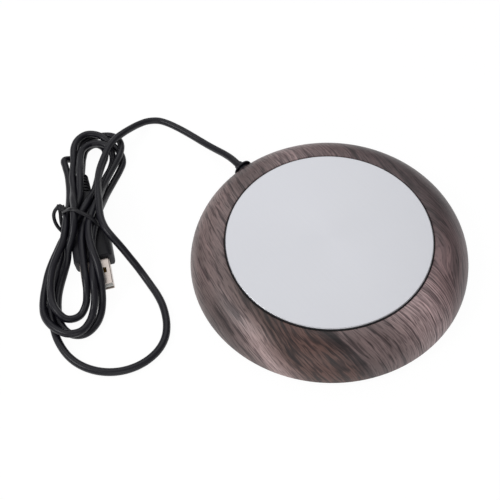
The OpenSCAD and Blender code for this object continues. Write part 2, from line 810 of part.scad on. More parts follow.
shell_in_h = shell_h - 2 * shell_t - 2 * fit;
shell_in_w = shell_w - 2 * shell_t - 2 * fit;
tongue_t = 1.85;
tongue_root = 2.4;

module plug_insulator() {
    color("#e8e8e4")
    on_plug()
    union() {
        translate([-shell_seat, -shell_in_w / 2, -shell_in_h / 2])
            cube([shell_seat + tongue_root, shell_in_w, shell_in_h]);
        // tongue with a bevelled nose
        translate([0, shell_in_w / 2, -shell_in_h / 2]) rotate([90, 0, 0])
        linear_extrude(shell_in_w)
            polygon([[0, 0], [shell_l - 1, 0], [shell_l - 0.5, 0.5], [shell_l - 0.5, tongue_t - 0.6],
                     [shell_l - 1.4, tongue_t], [0, tongue_t]]);
    }
}

module plug_contacts() {
    contact_t = 0.15;
    color("#d6b45a")
    on_plug()
    for (y = [-3.5, -1, 1, 3.5])
        translate([tongue_root, y - 0.5, tongue_t - shell_in_h / 2])
            cube([(abs(y) > 2 ? 7.4 : 6.4), 1, contact_t]);
}

// ---------------------------------------------------------------- hank and tie

module loop_span(a, ra, b, rb) {
    hull() {
        translate(a) circle(ra, $fn = 32);
        translate(b) circle(rb, $fn = 32);
    }
}

module cord_hank() {
    loose = 0.3;
    color("#18181b")
    difference() {
        union() {
            linear_extrude(hank_h) {
                loop_span(loops_top, loops_top_r, waist, waist_r);
                loop_span(waist, waist_r, loops_end, loops_end_r);
            }
            translate([0, 0, plug_lift])
                linear_extrude(waist_h - plug_lift)
                    loop_span(waist + waist_run, waist_r, waist - waist_run, waist_r);
        }
        // the tie passes under the waist
        translate(waist) rotate([0, 0, tie_angle])
            cube([60, tie_w + 2 * loose, 2 * plug_lift], center = true);
        // bed of the plug
        translate([plug_pos[0], plug_pos[1], -eps]) rotate([0, 0, plug_angle]) {
            linear_extrude(plug_z + grip_t / 2 + loose) {
                grip_plan(loose);
                translate([-grip_l - neck_l - relief_l - loose, -relief_d / 2 - loose])
                    square([relief_l + 3, relief_d + 2 * loose]);
                translate([-2, -shell_w / 2 - loose]) square([shell_l + 2 + loose, shell_w + 2 * loose]);
            }
        }
    }
}

module twist_tie() {
    tie_h = waist_h + tie_t + fit;
    color("#141416")
    union() {
        translate(concat(waist, 0)) rotate([0, 0, tie_angle])
        translate([0, 0, tie_h / 2 + fit]) rotate([90, 0, 0])
        translate([0, 0, -tie_w / 2]) linear_extrude(tie_w)
        difference() {
            rounded(2 * (tie_reach + tie_t), tie_h, 2);
            rounded(2 * tie_reach, tie_h - 2 * tie_t, 1.2);
        }
        // twisted ends, bent back in a loop
        translate(concat(waist, 0)) rotate([0, 0, tie_angle]) translate([-tie_reach - tie_t, 0, 4]) {
            rotate([0, -90, 0]) cylinder(d = 2, h = 2.4);
            translate([-5, 0, 0]) rotate([70, 0, 20]) rotate_extrude($fn = 48)
                translate([2.9, 0]) circle(0.6, $fn = 16);
        }
    }
}

housing_ring();
heating_plate();
plate_seal();
heater_film();
heater_track();
mica_disc();
insulation_pad();
clamp_disc();
weld_studs();
stud_nuts();
thermostat();
thermal_fuse();
fuse_strap();
lead_live();
lead_fuse();
lead_link();
lead_neutral();
cord_clamp();
clamp_screws();
base_cover();
base_screws();
foot(0);  // foot_1
foot(1);  // foot_2
foot(2);  // foot_3
foot(3);  // foot_4
cord_grommet();
cord_inner();
cord();
cord_hank();
plug_grip();
plug_shell();
plug_insulator();
plug_contacts();
twist_tie();
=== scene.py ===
"""Dresses a desk-top mug warmer: wood-print ring, brushed plate, and a lead put up in a tied hank."""

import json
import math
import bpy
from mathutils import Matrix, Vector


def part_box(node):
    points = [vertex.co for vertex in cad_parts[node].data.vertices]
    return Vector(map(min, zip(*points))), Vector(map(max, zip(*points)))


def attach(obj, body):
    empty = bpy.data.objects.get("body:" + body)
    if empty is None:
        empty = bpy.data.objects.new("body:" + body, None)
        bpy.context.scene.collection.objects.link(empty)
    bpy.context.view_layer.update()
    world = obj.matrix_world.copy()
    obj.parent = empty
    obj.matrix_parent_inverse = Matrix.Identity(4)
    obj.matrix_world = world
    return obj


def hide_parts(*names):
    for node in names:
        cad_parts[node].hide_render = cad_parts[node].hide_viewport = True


bl_info = {
    "name": "Mug Warmer Finishes",
    "version": (1, 0, 0),
    "blender": (4, 5, 0),
    "location": "View3D > Sidebar > Mug Warmer",
    "description": "Lays the lead, dresses the plug and the tie, and gives each piece its material",
    "category": "Object",
}

import bmesh
import bpy
import numpy as np
from bpy.props import FloatProperty, FloatVectorProperty, IntProperty, PointerProperty
from mathutils import Matrix, Vector
from mathutils.geometry import convex_hull_2d, interpolate_bezier

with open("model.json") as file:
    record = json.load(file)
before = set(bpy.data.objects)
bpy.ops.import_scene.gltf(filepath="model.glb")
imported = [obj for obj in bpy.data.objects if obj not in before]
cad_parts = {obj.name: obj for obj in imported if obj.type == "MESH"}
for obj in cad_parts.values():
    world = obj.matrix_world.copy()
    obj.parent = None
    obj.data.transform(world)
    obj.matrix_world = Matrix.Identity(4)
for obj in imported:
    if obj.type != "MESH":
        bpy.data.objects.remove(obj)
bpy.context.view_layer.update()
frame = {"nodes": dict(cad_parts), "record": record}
NODES = frame["nodes"]
MM = 0.001

# ------------------------------------------------------------------ places taken from the frame

PLATE_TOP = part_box("heating_plate")[1].z
RING_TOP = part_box("housing_ring")[1].z
EXIT_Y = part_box("cord_grommet")[1].y
CORD_Z = (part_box("cord_inner")[0].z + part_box("cord_inner")[1].z) / 2
PLUG_MOUNT = next(m for m in frame["record"]["mounts"] if m["name"] == "usb_plug")
PLUG_AXIS = Vector(PLUG_MOUNT["axis"]).normalized()
SHELL_LENGTH = 12 * MM              # of the plug's metal shell, as in the standard
SHELL_HALF = (6, 2.25)              # half its width and height, in millimetres
PLUG_FRONT = Vector(PLUG_MOUNT["pos_m"]) - PLUG_AXIS * SHELL_LENGTH
PLUG_SIDE = Vector((-PLUG_AXIS.y, PLUG_AXIS.x, 0))
# the hank keeps its outline as seen from this place, in millimetres
LEAN_FROM = np.array((-119.5, -122.5, 269.5))

# Route of the lead in millimetres, from the grommet to where it dives under the hank
FREE_ROUTE = [
    (0, 57, 6.5), (0, 61, 6.5), (0, 66.5, 5), (-1, 74.5, 2.8), (-2, 82.5, 1.5), (-4.5, 94.5, 1.5),
    (-8.5, 105.5, 1.5), (-13.5, 108, 2), (-20.5, 107, 4.5), (-27.5, 104.5, 7.5), (-34, 103.5, 8),
    (-38.5, 100.5, 8), (-43.5, 96.5, 8.5), (-48, 92, 9.5), (-51.5, 86.5, 11.5), (-55, 81, 12.5),
    (-57.5, 76.5, 12.5), (-60, 72, 12.5), (-62, 68, 12), (-63, 64, 10.5), (-62.5, 61, 8.5),
    (-61.5, 58.5, 5.5), (-61, 55.5, 3), (-61, 52, 1.5),
    (-61, 48, 1.5), (-61.5, 41, 1.5), (-62, 35.5, 1.5), (-62.5, 28.5, 1.5), (-64.5, 22, 1.5),
    (-68.5, 14.5, 1.5), (-74.5, 10, 1.5), (-83, 9, 1.5), (-90, 11, 1.5), (-95.5, 14.5, 1.5),
    (-99.5, 19, 1.5), (-102, 23.5, 1.5), (-103.5, 28, 1.5), (-104, 33, 1.5), (-103.5, 37, 1.5),
    (-103, 41.5, 1.5),
]

# The hank's runs in the order in which the lead was folded, in millimetres
HANK_ROUTE = [
    # up the left side under the bundle
    (-101, 46, 1.5), (-98.5, 51, 1.5), (-95.5, 55.5, 1.5), (-92.5, 60, 1.5), (-88.5, 64, 1.5),
    (-84, 68.5, 1.5), (-79.5, 73, 1.5), (-75, 77, 2), (-71, 79.5, 5), (-67.5, 81, 9),
    # inner top loop
    (-64, 83, 10), (-60.5, 87, 10.5), (-57, 92.5, 10), (-53.5, 99, 9), (-50.5, 104, 7.5),
    (-47.5, 109, 6), (-44.5, 111.5, 5), (-42, 112, 4.5), (-39.5, 110.5, 4.5), (-37.5, 108.5, 4.5),
    (-36.5, 107, 4.5),
    # down through the tie
    (-36, 104.5, 4.5), (-36, 101.5, 4), (-38, 98.5, 2.5), (-40.5, 96, 1.5), (-44, 94.5, 1.5),
    (-47, 92.5, 1.5), (-51, 89.5, 2.5), (-55, 85.5, 5), (-59, 80.5, 8), (-63, 76.5, 10),
    (-66, 74, 10.5), (-69, 71, 10.5),
    # inner bottom loop
    (-71.5, 68, 10.5), (-74, 64, 10.5), (-76, 60, 10.5), (-79, 55, 9.5), (-81, 50.5, 9),
    (-83.5, 46.5, 7.5), (-85.5, 44.5, 5), (-88, 43, 2.5), (-91, 42, 1.5), (-94, 42, 2),
    (-96, 43, 3), (-97, 45.5, 4), (-97, 49.5, 4.5),
    # up the left side on top
    (-96.5, 53.5, 4.5), (-94, 58, 4.5), (-91.5, 62, 4.5), (-89, 65.5, 4.5), (-85.5, 69, 4.5),
    (-81.5, 71.5, 4.5), (-78, 74, 5.5), (-75, 76.5, 7), (-72, 79.5, 7.5), (-69, 83.5, 7),
    # short outer bend at the top left
    (-65.5, 89.5, 6), (-62, 95, 5), (-59.5, 100.5, 4.5), (-57, 106, 4), (-55.5, 111, 3),
    (-53.5, 114.5, 2), (-51.5, 114.5, 1.5), (-51, 111.5, 1.5),
    # middle top loop
    (-50.5, 109.5, 1.5), (-48.5, 111, 1.5), (-45, 115.5, 1.5), (-42, 117.5, 1.5), (-39, 117, 1.5),
    (-36.5, 116, 1.5), (-34, 115, 1.5), (-32, 113, 1.5),
    (-30, 110.5, 2.5), (-29.5, 106.5, 3), (-31, 101.5, 4), (-34, 98, 4.5), (-37.5, 95.5, 4.5),
    (-41.5, 93, 4.5), (-45, 91, 4.5), (-48.5, 88.5, 4.5), (-52.5, 85, 6), (-57, 80.5, 8),
    (-61, 76, 10.5), (-64.5, 72, 11.5),
    # outer bottom loop
    (-67.5, 69, 12), (-70, 64, 12.5), (-72.5, 58.5, 13.5), (-73.5, 54, 12), (-75.5, 49.5, 10),
    (-77, 47, 9), (-78.5, 44, 6), (-80.5, 41.5, 3.5), (-83, 38.5, 2), (-86, 36, 1.5),
    (-89, 34.5, 1.5), (-92, 34, 1.5), (-95, 34.5, 1.5), (-97, 35.5, 1.5), (-98, 38, 1.5),
    (-99, 42.5, 1.5), (-98.5, 47.5, 1.5),
    # up the inner left side
    (-96.5, 51.5, 1.5), (-94.5, 54.5, 1.5), (-91.5, 57.5, 2), (-88, 60.5, 2), (-84.5, 63.5, 2.5),
    (-81.5, 66, 3), (-78.5, 69, 4), (-75, 71, 8), (-71.5, 73.5, 11), (-69, 77, 12),
    # outer top loop
    (-66, 82, 11), (-63, 88.5, 8), (-60, 94.5, 6.5), (-57, 100.5, 6), (-51.5, 108.5, 5), (-49.5, 113, 5),
    (-46, 116.5, 5), (-41.5, 118.5, 4.5), (-37.5, 117.5, 4), (-35, 114.5, 3.5), (-34.5, 111.5, 3),
    (-34, 109, 3),
    # down the right side through the tie
    (-33, 106, 1.5), (-33, 101.5, 1.5), (-33.5, 97.5, 1.5), (-35.5, 94.5, 1.5), (-39.5, 92, 1.5),
    (-44, 89, 1.5), (-48.5, 86.5, 1.5), (-52.5, 83, 3), (-57, 78, 6.5), (-61.5, 72.5, 9.5),
    (-65, 68.5, 10.5),
    # middle bottom loop
    (-68.5, 64.5, 10.5), (-71.5, 60.5, 10.5), (-73.5, 56.5, 10), (-76, 52.5, 9.5), (-78.5, 48.5, 9),
    (-81, 45, 6.5), (-83, 43, 4), (-85.5, 40.5, 2), (-89.5, 37, 2), (-93.5, 34.5, 3.5),
    (-97, 35, 4), (-100, 38, 4), (-101.5, 41.5, 4), (-102, 45.5, 3), (-102, 49, 2),
    # up the outermost left side
    (-100.5, 54, 1.5), (-98.5, 58, 1.5), (-95.5, 61.5, 1.5), (-92.5, 65, 1.5), (-89.5, 68.5, 1.5),
    (-85.5, 71.5, 1.5), (-81.5, 74.5, 1.5), (-78, 77, 2.5), (-74, 77.5, 5), (-70.5, 76.5, 9),
    (-67, 77, 10),
    # under the loops and round into the plug's strain relief
    (-62.5, 78.5, 10), (-58, 81.5, 8), (-54, 87, 5), (-49.5, 93.5, 2.5), (-45, 98.5, 1.5),
    (-41, 102, 1.5), (-38, 104.5, 1.5), (-37, 107, 1.5), (-37.5, 109.5, 1.5), (-38.5, 112, 1.5),
    (-40.5, 113.5, 1.5), (-43.5, 113, 1.5), (-46.5, 111, 1.5), (-49.5, 106.5, 2), (-51.5, 102, 3.5),
]

# ------------------------------------------------------------------ settings


def srgb(code):
    """Linear colour of an sRGB hex code."""
    values = [int(code[i:i + 2], 16) / 255 for i in (1, 3, 5)]
    return tuple(v / 12.92 if v <= 0.04045 else ((v + 0.055) / 1.055) ** 2.4 for v in values) + (1,)


class WarmerLeadSettings(bpy.types.PropertyGroup):
    """Size, length and colour of the lead, and how it settles"""
    diameter: FloatProperty(
        name="Diameter", description="Diameter of the lead", default=3 * MM, unit="LENGTH")
    length: FloatProperty(
        name="Length", description="Length of the lead from grommet to plug", default=1.05, unit="LENGTH")
    step: FloatProperty(
        name="Settling step", description="Spacing of the points that settle", default=2.5 * MM,
        unit="LENGTH")
    passes: IntProperty(
        name="Settling passes", description="Passes in which the runs come to rest on each other",
        default=300)
    colour: FloatVectorProperty(
        name="Jacket colour", description="Colour of the lead's jacket", subtype="COLOR", size=3,
        default=srgb("#111019")[:3])


class WarmerPlugSettings(bpy.types.PropertyGroup):
    """Sizes of the plug's overmould, which the lead and the tie clear"""
    grip_width: FloatProperty(
        name="Overmould width", description="Width of the overmould", default=16 * MM, unit="LENGTH")
    grip_height: FloatProperty(
        name="Overmould height", description="Thickness of the overmould", default=8 * MM, unit="LENGTH")
    grip_length: FloatProperty(
        name="Overmould length", description="Length of the overmould's full section", default=14 * MM,
        unit="LENGTH")
    neck_length: FloatProperty(
        name="Neck length", description="Length of the tapering neck", default=20 * MM, unit="LENGTH")
    relief_length: FloatProperty(
        name="Strain relief length", description="Length of the ribbed strain relief", default=11 * MM,
        unit="LENGTH")
    relief_root: FloatProperty(
        name="Strain relief root", description="Diameter of the strain relief at its root",
        default=7.4 * MM, unit="LENGTH")
    relief_tail: FloatProperty(
        name="Strain relief tail", description="Diameter of the strain relief at its tail",
        default=6 * MM, unit="LENGTH")


class WarmerTieSettings(bpy.types.PropertyGroup):
    """Section of the wire tie"""
    width: FloatProperty(
        name="Width", description="Width of the twist tie", default=1.8 * MM, unit="LENGTH")
    wire: FloatProperty(
        name="Wire", description="Thickness over the tie's wire", default=1 * MM, unit="LENGTH")


class WarmerStageSettings(bpy.types.PropertyGroup):
    """Camera and surrounding light"""
    elevation: FloatProperty(
        name="Elevation", description="Height angle of the camera", default=math.radians(56.84),
        subtype="ANGLE")
    azimuth: FloatProperty(
        name="Azimuth", description="Turn of the view about the vertical", default=math.radians(34),
        subtype="ANGLE")
    roll: FloatProperty(
        name="Roll", description="Roll of the camera", default=math.radians(-5.83), subtype="ANGLE")
    distance: FloatProperty(
        name="Distance", description="Distance of the camera from its aim", default=303.2 * MM,
        unit="LENGTH")
    lens: FloatProperty(
        name="Focal length", description="Focal length on a 36 mm sensor, in millimetres", default=56.9)
    ambient: FloatProperty(
        name="Ambient", description="Strength of the even light from all round", default=0.3)


# ------------------------------------------------------------------ small helpers


def fill(tree, node, sockets):
    """Gives a node's inputs values or links, by order or by name."""
    for key, value in sockets.items() if isinstance(sockets, dict) else enumerate(sockets):
        if isinstance(value, bpy.types.NodeSocket):
            tree.links.new(value, node.inputs[key])
        else:
            node.inputs[key].default_value = value


def add(tree, kind, sockets=(), out=0, stops=(), **settings):
    """Adds a node with its settings, its inputs and a ramp's stops, and gives back its output."""
    node = tree.nodes.new("ShaderNode" + kind)
    for name, value in settings.items():
        setattr(node, name, value)
    fill(tree, node, sockets)
    if stops:
        elements = node.color_ramp.elements
        while len(elements) < len(stops):
            elements.new(0.5)
        for element, (place, colour) in zip(elements, stops):
            element.position = place
            element.color = srgb(colour) if isinstance(colour, str) else (colour, colour, colour, 1)
    return node.outputs[out]


def new_material(name):
    """A new material with its nodes and its shader."""
    material = bpy.data.materials.new("finish_" + name)
    material.use_nodes = True
    return material, material.node_tree, material.node_tree.nodes["Principled BSDF"]


def place_mm(tree):
    """Place on the object in millimetres."""
    coords = add(tree, "TexCoord", out="Object")
    return add(tree, "VectorMath", {0: coords, "Scale": 1 / MM}, operation="SCALE")


# ------------------------------------------------------------------ materials

GRAIN_TURN = math.radians(12)       # turn of the grain from the Y axis
DRAW_DOWN = 0.7                     # share of the dome's drop that the film is stretched by
BOARD_HALF, FILM_HALF = 60, 55      # half the film's width across its grain and length along it, in mm
# size across and along the grain in millimetres, detail and roughness of each pattern.
# Lines and pores are drawn coarser than walnut's, so that they show
GRAIN_PATTERNS = {
    "zones": (7, 55, 2, 0.55),
    "bands": (1.9, 24, 2, 0.55),
    "marks": (0.9, 11, 2, 0.5),
    "lines": (0.55, 14, 2, 0.5),
    "pores": (0.36, 5, 1, 0.5),
}
# tones of the board from the left to the right
BOARD_TONES = [
    (0.04, "#786866"), (0.075, "#7e6d6b"), (0.115, "#a99492"), (0.15, "#88736f"), (0.175, "#614b45"),
    (0.22, "#573f39"), (0.27, "#58403a"), (0.3, "#3f302f"), (0.318, "#362a2b"), (0.324, "#655655"),
    (0.38, "#6b5b5a"), (0.43, "#6f5f5e"), (0.5, "#978382"), (0.58, "#a48e8e"), (0.7, "#7f6969"),
    (0.82, "#665455"), (0.95, "#766667"),
]
# painted light and shade on the board from the front to the back: the front is made lighter, the sides and
# the back darker
BOARD_PAINTED_LIGHT = [(0.22, 1.3), (0.42, 0.62), (0.7, 0.67), (0.9, 0.86)]
# pattern, its share along its own values, and what it multiplies the tone by
BROAD_TINTS = [
    ("zones", [(0.48, 0), (0.62, 0.6)], (1.25, 1.22, 1.22)),
    ("zones", [(0.36, 0.6), (0.45, 0)], (0.55, 0.5, 0.5)),
    ("bands", [(0.38, 0.85), (0.41, 0.6), (0.44, 0)], (0.3, 0.27, 0.29)),
    ("marks", [(0.43, 0.9), (0.51, 0)], (0.28, 0.25, 0.28)),
]
FINE_TINTS = [
    ("lines", [(0.52, 0), (0.64, 0.35)], (1.6, 1.55, 1.55)),
    ("lines", [(0.39, 0.65), (0.44, 0)], (0.36, 0.34, 0.36)),
    ("pores", [(0.35, 0.8), (0.43, 0)], (0.4, 0.37, 0.38)),
]


def pattern(tree, place, cell, detail, roughness):
    """Noise with its own size in millimetres along each axis."""
    cells = add(tree, "VectorMath", [place, cell], operation="DIVIDE")
    return add(tree, "TexNoise", {"Vector": cells, "Scale": 1, "Detail": detail, "Roughness": roughness})


def film_place(tree, x, y, z):
    """Place on the printed film, across and along its grain. The film is laid from above and
    drawn down over the dome."""
    flat = add(tree, "CombineXYZ", [x, y])
    radius = add(tree, "VectorMath", [flat], out="Value", operation="LENGTH")
    drop = add(tree, "Math", [z, -DRAW_DOWN, RING_TOP / MM * DRAW_DOWN], operation="MULTIPLY_ADD")
    reach = add(tree, "Math", [add(tree, "Math", [drop, radius], operation="DIVIDE"), 1.0])
    film = add(tree, "VectorMath", {0: flat, "Scale": reach}, operation="SCALE")
    film = add(tree, "VectorRotate", {"Vector": film, "Angle": GRAIN_TURN}, rotation_type="Z_AXIS")
    across, along = add(tree, "SeparateXYZ", [film], out=slice(2))
    # near the front the grain leans the other way, by up to 0.34 mm across for each mm of Y
    low = add(tree, "Math", [add(tree, "Math", [y, 25.0]), 0.0], operation="MINIMUM")
    for edge in ({"From Min": -50, "From Max": -25, "To Min": 0, "To Max": 0.34},
                 {"From Min": 10, "From Max": 30, "To Min": 1, "To Max": 0}):
        share = add(tree, "MapRange", {"Value": x, **edge}, interpolation_type="SMOOTHSTEP")
        low = add(tree, "Math", [low, share], operation="MULTIPLY")
    # at the right it fans out from the bore, by up to 0.45 mm for each mm of Y
    fan = add(tree, "Math", [add(tree, "Math", [y, 5.0]), 0.0], operation="MINIMUM")
    for value, edge in ((radius, {"From Min": 40, "From Max": 58, "To Min": 1, "To Max": 0}),
                        (x, {"From Min": 20, "From Max": 36, "To Min": 0, "To Max": 0.45})):
        share = add(tree, "MapRange", {"Value": value, **edge}, interpolation_type="SMOOTHSTEP")
        fan = add(tree, "Math", [fan, share], operation="MULTIPLY")
    for lean in (low, fan):
        across = add(tree, "Math", [across, lean])
    # slow waves and a ripple in the run of the grain, each with its cell and reach in millimetres
    straight = add(tree, "CombineXYZ", [across, along])
    for cell, detail, reach_mm in (((20, 55, 1), 1, 5.0), ((4, 13, 1), 2, 1.5)):
        wave = pattern(tree, straight, cell, detail, 0.5)
        sway = add(tree, "Math", [wave, reach_mm, -reach_mm / 2], operation="MULTIPLY_ADD")
        across = add(tree, "Math", [across, sway])
    return across, along


def board_tone(tree, x, y, across, along):
    """Broad tones of the printed board, with painted light and shade from the front to the back, and how
    much of its back left is plain.
    """
    half = {"From Min": -BOARD_HALF, "From Max": BOARD_HALF}
    tone = add(tree, "ValToRGB", [add(tree, "MapRange", {"Value": across, **half})], stops=BOARD_TONES)
    plain = add(tree, "MapRange", {"Value": y, "From Max": 20}, interpolation_type="SMOOTHSTEP")
    edge = {"From Min": -20, "From Max": 0, "To Min": 1, "To Max": 0}
    share = add(tree, "MapRange", {"Value": x, **edge}, interpolation_type="SMOOTHSTEP")
    plain = add(tree, "Math", [plain, share], operation="MULTIPLY")
    tone = add(tree, "Mix", {0: plain, 6: tone, 7: srgb("#937f7d")}, out=2, data_type="RGBA")
    half = {"From Min": -FILM_HALF, "From Max": FILM_HALF}
    # painted light and shade: lighter at the front, darker along the sides and the back
    light = add(tree, "ValToRGB", [add(tree, "MapRange", {"Value": along, **half})], stops=BOARD_PAINTED_LIGHT)
    tone = add(tree, "Mix", {0: 1.0, 6: tone, 7: light}, out=2, data_type="RGBA", blend_type="MULTIPLY")
    return tone, plain


def growth_lines(tree, across, zones):
    """Share of the fine dark growth lines, which gather on the right. They are 1.5 mm apart, which
    is 4.2 radians for each millimetre, and the zones shift them by up to 20 radians."""
    turn = add(tree, "Math", [zones, 20.0, add(tree, "Math", [across, 4.2], operation="MULTIPLY")],
               operation="MULTIPLY_ADD")
    ring = add(tree, "MapRange", [add(tree, "Math", [turn], operation="SINE")])
    share = add(tree, "ValToRGB", [ring], stops=[(0, 0.4), (0.25, 0)])
    edge = {"From Min": -14, "From Max": 8, "To Min": 0.3, "To Max": 1}
    right = add(tree, "MapRange", {"Value": across, **edge}, interpolation_type="SMOOTHSTEP")
    return add(tree, "Math", [share, right], operation="MULTIPLY")


def tinted(tree, colour, grain, tints, limits):
    """Lays patterns over a colour, each with its own ramp, tint and limit."""
    for name, stops, tint in tints:
        share = add(tree, "ValToRGB", [grain[name]], stops=stops)
        share = add(tree, "Math", [share, limits.get(name, 1.0)], operation="MULTIPLY")
        colour = add(tree, "Mix", {0: share, 6: colour, 7: (*tint, 1)}, out=2, data_type="RGBA",
                     blend_type="MULTIPLY")
    return colour


def wood_print():
    """Walnut-grain transfer print on moulded ABS under satin lacquer: broad light and dark
    boards with crowded dark marks, under a soft shine."""
    _, tree, shader = new_material("wood_print_abs")
    x, y, z = add(tree, "SeparateXYZ", [place_mm(tree)], out=slice(3))
    across, along = film_place(tree, x, y, z)
    film = add(tree, "CombineXYZ", [across, along])
    grain = {name: pattern(tree, film, (wide, long, 1), detail, rough)
             for name, (wide, long, detail, rough) in GRAIN_PATTERNS.items()}
    colour, plain = board_tone(tree, x, y, across, along)
    # the marks crowd the heart of the figure
    heart = add(tree, "Math", [1.0, plain], operation="SUBTRACT")
    for edge in ({"From Min": -44, "From Max": -38},
                 {"From Min": -23, "From Max": -20, "To Min": 1, "To Max": 0}):
        share = add(tree, "MapRange", {"Value": across, **edge}, interpolation_type="SMOOTHSTEP")
        heart = add(tree, "Math", [heart, share], operation="MULTIPLY")
    colour = tinted(tree, colour, grain, BROAD_TINTS, {"marks": heart})
    drawn = growth_lines(tree, across, grain["zones"])
    colour = add(tree, "Mix", {0: drawn, 6: colour, 7: srgb("#40363a")}, out=2, data_type="RGBA")
    colour = tinted(tree, colour, grain, FINE_TINTS, {})
    height = add(tree, "Math", [grain["pores"], 0.8, grain["lines"]], operation="MULTIPLY_ADD")
    fill(tree, shader, {
        "Base Color": colour,
        "Roughness": add(tree, "MapRange", {"Value": grain["lines"], "To Min": 0.38, "To Max": 0.5}),
        "IOR": 1.5,
        "Normal": add(tree, "Bump", {"Strength": 0.5, "Distance": 0.05 * MM, "Height": height}),
    })


def brushed_aluminium():
    """Aluminium sheet, fine-brushed one way and clear-anodised: an even bluish-silver face with
    hairlines that only show as a faint change of tone."""
    _, tree, shader = new_material("brushed_aluminium")
    place = place_mm(tree)
    hairs = pattern(tree, place, (0.45, 26, 5), 3, 0.7)
    drift = pattern(tree, place, (30, 30, 30), 2, 0.5)
    colour = add(tree, "Mix", {0: hairs, 6: srgb("#cccdd2"), 7: srgb("#d3d4d9")}, out=2, data_type="RGBA")
    share = add(tree, "MapRange", {"Value": drift, "To Max": 0.5})
    fill(tree, shader, {
        "Base Color": add(tree, "Mix", {0: share, 6: colour, 7: srgb("#cacbd1")}, out=2, data_type="RGBA"),
        "Metallic": 1,
        "Roughness": add(tree, "MapRange", {"Value": hairs, "To Min": 0.34, "To Max": 0.42}),
        "Anisotropic": 0.3,
        "Normal": add(tree, "Bump", {"Strength": 0.15, "Distance": 0.01 * MM, "Height": hairs}),
    })


DRIFT_MM = 9        # size of the patches over which a moulded colour drifts, in millimetres
# Moulded, pressed, drawn and plated stuff: colour, the colour it drifts to, roughness, width and
# depth of its grit in millimetres, and IOR, with no IOR for a metal
RECIPES = {
    # moulded silicone: matte near-black with a bloom of dust
    "seal_silicone": ("#141416", "#1d1d20", 0.7, 0.5, 0.01, 1.41),
    # polyimide film: glossy amber
    "polyimide_film": ("#b5722a", "#c07f33", 0.25, 1.5, 0.004, 1.7),
    # etched constantan foil: smooth and coppery yellow
    "heater_foil": ("#c9a05a", "#d1ab6a", 0.3, 0.4, 0.004, None),
    # pressed mica: flaky and satin
    "mica": ("#c8b78e", "#b9a67c", 0.4, 0.8, 0.02, 1.58),
    # needled ceramic felt: soft and matte
    "ceramic_felt": ("#e9e6df", "#dedad0", 0.95, 0.6, 0.15, 1.5),
    # zinc-plated steel: bright with a faint blue cast
    "zinc_plated_steel": ("#b9bcc0", "#c6cacb", 0.3, 0.6, 0.006, None),
    # moulded phenolic: dark brown with a dull shine
    "phenolic": ("#3a2a22", "#443229", 0.45, 0.5, 0.01, 1.6),
    # cast epoxy resin: creamy and fairly glossy
    "fuse_resin": ("#d8c9a8", "#cdbd99", 0.35, 0.8, 0.005, 1.55),
    # extruded silicone insulation of the inner wires: smooth and satin
    "wire_red": ("#a8201c", "#b32a24", 0.45, 0.4, 0.005, 1.45),
    "wire_white": ("#e4e2dc", "#dcd9d0", 0.45, 0.4, 0.005, 1.45),
    "wire_black": ("#1a1a1c", "#222224", 0.45, 0.4, 0.005, 1.45),
    # ABS moulded in a spark-eroded tool: fine even grit
    "black_abs": ("#1f1f22", "#242428", 0.5, 0.35, 0.02, 1.5),
    # moulded rubber: dull with a slight bloom
    "foot_rubber": ("#28282a", "#323234", 0.8, 0.5, 0.02, 1.5),
    # extruded PVC jacket, in the colour of the settings: satin with a soft long highlight
    "cord_pvc": (None, "#17161f", 0.38, 0.5, 0.008, 1.42),
    # PVC moulded over the plug: finely matte
    "plug_pvc": ("#111018", "#15141c", 0.5, 0.3, 0.02, 1.4),
    # nickel-plated steel sheet: bright with a warm cast
    "nickel_shell": ("#c6bcb6", "#bfb4ad", 0.28, 1.2, 0.004, None),
    # moulded PBT core of the plug: smooth and off-white
    "plug_core": ("#e8e8e4", "#dfdfda", 0.4, 0.5, 0.006, 1.55),
    # gold flash on the contacts: bright yellow
    "contact_gold": ("#d6b45a", "#debf6c", 0.22, 0.4, 0.003, None),
    # PVC-covered wire of the twist tie: smooth satin black
    "tie_pvc": ("#121118", "#17161c", 0.4, 0.4, 0.01, 1.42),
}


def moulded(name, base, light, roughness, grit_mm, depth_mm, ior):
    """One colour that drifts a little, with a fine grit in its surface."""
    _, tree, shader = new_material(name)
    place = place_mm(tree)
    drift = add(tree, "TexNoise", {"Vector": place, "Scale": 1 / DRIFT_MM, "Detail": 2})
    grit = add(tree, "TexNoise", {"Vector": place, "Scale": 1 / grit_mm, "Detail": 2, "Roughness": 0.6})
    share = add(tree, "MapRange", {"Value": drift, "To Max": 0.6})
    low, high = roughness - 0.05, roughness + 0.07
    fill(tree, shader, {
        "Base Color": add(tree, "Mix", {0: share, 6: base, 7: light}, out=2, data_type="RGBA"),
        "Roughness": add(tree, "MapRange", {"Value": grit, "To Min": low, "To Max": high}),
        "Metallic": 0 if ior else 1,
        "Normal": add(tree, "Bump", {"Strength": 0.6, "Distance": depth_mm * MM, "Height": grit}),
    })
    if ior:
        shader.inputs["IOR"].default_value = ior


def dress(piece, slot):
    """Gives a piece the material of its slot, and no other."""
    piece.data.materials.clear()
    piece.data.materials.append(bpy.data.materials["finish_" + slot])


def finish(piece, slot, replaces):
    """Gives a new piece its material and its body, and hides the nodes that it stands for."""
    dress(piece, slot)
    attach(piece, "root")
    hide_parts(*replaces)


def mesh_object(name, built):
    """A smooth-shaded object of a mesh that has been built."""
    mesh = bpy.data.meshes.new(name)
    bmesh.ops.recalc_face_normals(built, faces=built.faces)
    built.to_mesh(mesh)
    built.free()
    piece = bpy.data.objects.new(name, mesh)
    bpy.context.scene.collection.objects.link(piece)
    mesh.polygons.foreach_set("use_smooth", [True] * len(mesh.polygons))
    return piece


# ------------------------------------------------------------------ lead

